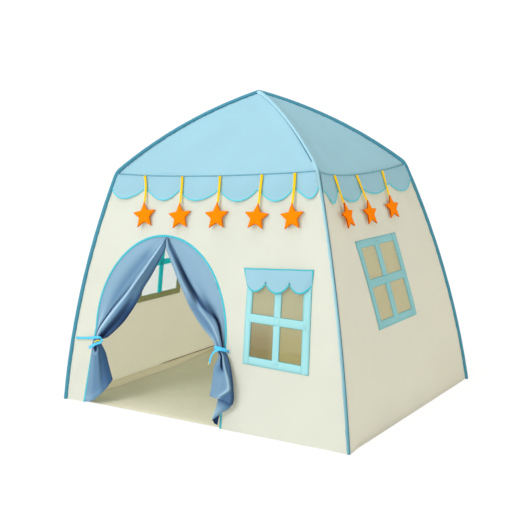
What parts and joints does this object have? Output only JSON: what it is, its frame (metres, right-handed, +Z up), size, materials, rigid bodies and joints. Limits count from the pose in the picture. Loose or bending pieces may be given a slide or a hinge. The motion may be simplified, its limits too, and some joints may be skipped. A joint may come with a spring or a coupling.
{
  "type": "kids play tent",
  "caption": "Small house-shaped play tent on a bowed pole frame, with a curtained arch door, cross-barred net windows, a scalloped eave and hanging stars.",
  "frame": {"origin": "on the ground, under the middle of the tent", "axes": "+Z up, the door wall faces -Y, +X to the right when one looks at the door"},
  "size_m": [1.2974, 1.0534, 1.1888],
  "materials": {
    "roof_cloth": "plain woven cloth",
    "wall_cloth": "plain woven cloth",
    "floor_cloth": "coated woven cloth",
    "curtain_cloth": "soft woven cloth",
    "sleeve_cloth": "plain woven cloth",
    "trim_tape": "woven tape",
    "window_strip": "plain woven cloth",
    "net": "fine white mesh",
    "ribbon": "satin ribbon",
    "star_felt": "matte felt",
    "pole_plastic": "semi-gloss",
    "fitting_plastic": "semi-gloss"
  },
  "bodies": {
    "tent": {"corner_sleeve_back_left": "sleeve_cloth", "corner_sleeve_back_right": "sleeve_cloth", "corner_sleeve_front_left": "sleeve_cloth", "corner_sleeve_front_right": "sleeve_cloth", "curtain_left": "curtain_cloth", "curtain_right": "curtain_cloth", "door_binding": "trim_tape", "eave_elbow_back_left": "fitting_plastic", "eave_elbow_back_right": "fitting_plastic", "eave_elbow_front_left": "fitting_plastic", "eave_elbow_front_right": "fitting_plastic", "floor_sheet": "floor_cloth", "foot_cap_back_left": "fitting_plastic", "foot_cap_back_right": "fitting_plastic", "foot_cap_front_left": "fitting_plastic", "foot_cap_front_right": "fitting_plastic", "leg_pole_back_left": "pole_plastic", "leg_pole_back_right": "pole_plastic", "leg_pole_front_left": "pole_plastic", "leg_pole_front_right": "pole_plastic", "roof_panel_back": "roof_cloth", "roof_panel_front": "roof_cloth", "roof_panel_left": "roof_cloth", "roof_panel_right": "roof_cloth", "roof_pole_back_left": "pole_plastic", "roof_pole_back_right": "pole_plastic", "roof_pole_front_left": "pole_plastic", "roof_pole_front_right": "pole_plastic", "tieback_left": "ribbon", "tieback_right": "ribbon", "top_hub": "fitting_plastic", "valance_back": "roof_cloth", "valance_front": "roof_cloth", "valance_left": "roof_cloth", "valance_right": "roof_cloth", "wall_back": "wall_cloth", "wall_front": "wall_cloth", "wall_left": "wall_cloth", "wall_right": "wall_cloth", "window_frame_front": "window_strip", "window_frame_left": "window_strip", "window_frame_right": "window_strip", "window_net_front": "net", "window_net_left": "net", "window_net_right": "net"},
    "star_pendant_front_1": {"star_pendant_front_1": "star_felt"},
    "star_pendant_front_2": {"star_pendant_front_2": "star_felt"},
    "star_pendant_front_3": {"star_pendant_front_3": "star_felt"},
    "star_pendant_front_4": {"star_pendant_front_4": "star_felt"},
    "star_pendant_front_5": {"star_pendant_front_5": "star_felt"},
    "star_pendant_left_1": {"star_pendant_left_1": "star_felt"},
    "star_pendant_left_2": {"star_pendant_left_2": "star_felt"},
    "star_pendant_left_3": {"star_pendant_left_3": "star_felt"},
    "star_pendant_right_1": {"star_pendant_right_1": "star_felt"},
    "star_pendant_right_2": {"star_pendant_right_2": "star_felt"},
    "star_pendant_right_3": {"star_pendant_right_3": "star_felt"},
    "window_awning": {"window_awning": "roof_cloth"}
  },
  "joints": [
    {"name": "swing_front_1", "type": "hinge", "parent": "tent", "child": "star_pendant_front_1", "pos_m": [-0.28362, -0.34253, 0.87937], "axis": [-1, 0, 0], "range_deg": [0, 75]},
    {"name": "swing_front_2", "type": "hinge", "parent": "tent", "child": "star_pendant_front_2", "pos_m": [-0.11044, -0.3442, 0.87311], "axis": [-1, 0, 0], "range_deg": [0, 75]},
    {"name": "swing_front_3", "type": "hinge", "parent": "tent", "child": "star_pendant_front_3", "pos_m": [0.05971, -0.34441, 0.87232], "axis": [-1, 0, 0], "range_deg": [0, 75]},
    {"name": "swing_front_4", "type": "hinge", "parent": "tent", "child": "star_pendant_front_4", "pos_m": [0.22957, -0.34321, 0.87681], "axis": [-1, 0, 0], "range_deg": [0, 75]},
    {"name": "swing_front_5", "type": "hinge", "parent": "tent", "child": "star_pendant_front_5", "pos_m": [0.36422, -0.34123, 0.88425], "axis": [-1, 0, 0], "range_deg": [0, 75]},
    {"name": "swing_left_1", "type": "hinge", "parent": "tent", "child": "star_pendant_left_1", "pos_m": [-0.46363, 0.23872, 0.87759], "axis": [0, 1, 0], "range_deg": [0, 75]},
    {"name": "swing_left_2", "type": "hinge", "parent": "tent", "child": "star_pendant_left_2", "pos_m": [-0.46772, 0.08209, 0.86469], "axis": [0, 1, 0], "range_deg": [0, 75]},
    {"name": "swing_left_3", "type": "hinge", "parent": "tent", "child": "star_pendant_left_3", "pos_m": [-0.46724, -0.11314, 0.86621], "axis": [0, 1, 0], "range_deg": [0, 75]},
    {"name": "swing_right_1", "type": "hinge", "parent": "tent", "child": "star_pendant_right_1", "pos_m": [0.46363, -0.23872, 0.87759], "axis": [0, -1, 0], "range_deg": [0, 75]},
    {"name": "swing_right_2", "type": "hinge", "parent": "tent", "child": "star_pendant_right_2", "pos_m": [0.46772, -0.08209, 0.86469], "axis": [0, -1, 0], "range_deg": [0, 75]},
    {"name": "swing_right_3", "type": "hinge", "parent": "tent", "child": "star_pendant_right_3", "pos_m": [0.46724, 0.11314, 0.86621], "axis": [0, -1, 0], "range_deg": [0, 75]},
    {"name": "awning_lift", "type": "hinge", "parent": "tent", "child": "window_awning", "pos_m": [0.334, -0.41529, 0.565], "axis": [-1, 0, 0], "range_deg": [0, 150]}
  ]
}
